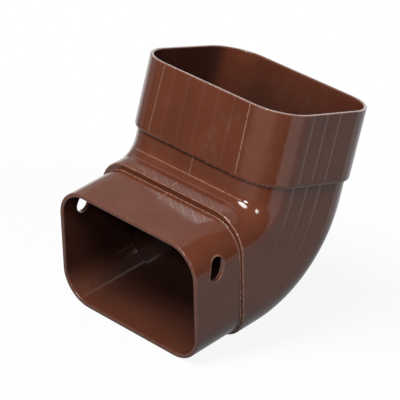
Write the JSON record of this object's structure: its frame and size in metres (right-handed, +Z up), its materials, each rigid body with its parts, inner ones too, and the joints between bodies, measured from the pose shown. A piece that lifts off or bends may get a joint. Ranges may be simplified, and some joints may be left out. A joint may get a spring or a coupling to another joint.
{
  "type": "downspout elbow",
  "caption": "Moulded rectangular downspout elbow: a fluted socket on top, a steep bend with a tight throat, and a smooth slotted spigot that slips into the next pipe.",
  "frame": {"origin": "centre of the ledge inside the socket, on which the downspout stops", "axes": "+Z up along the socket's axis, the way the downspout leaves it; the spigot leaves towards -Y and slopes down by 20 degrees; X across the bend, which is alike on both sides"},
  "size_m": [0.0822, 0.0928, 0.105],
  "materials": {
    "brown_pvc": "gloss, moulded in brown"
  },
  "bodies": {
    "root": {"elbow": "brown_pvc"}
  },
  "joints": []
}
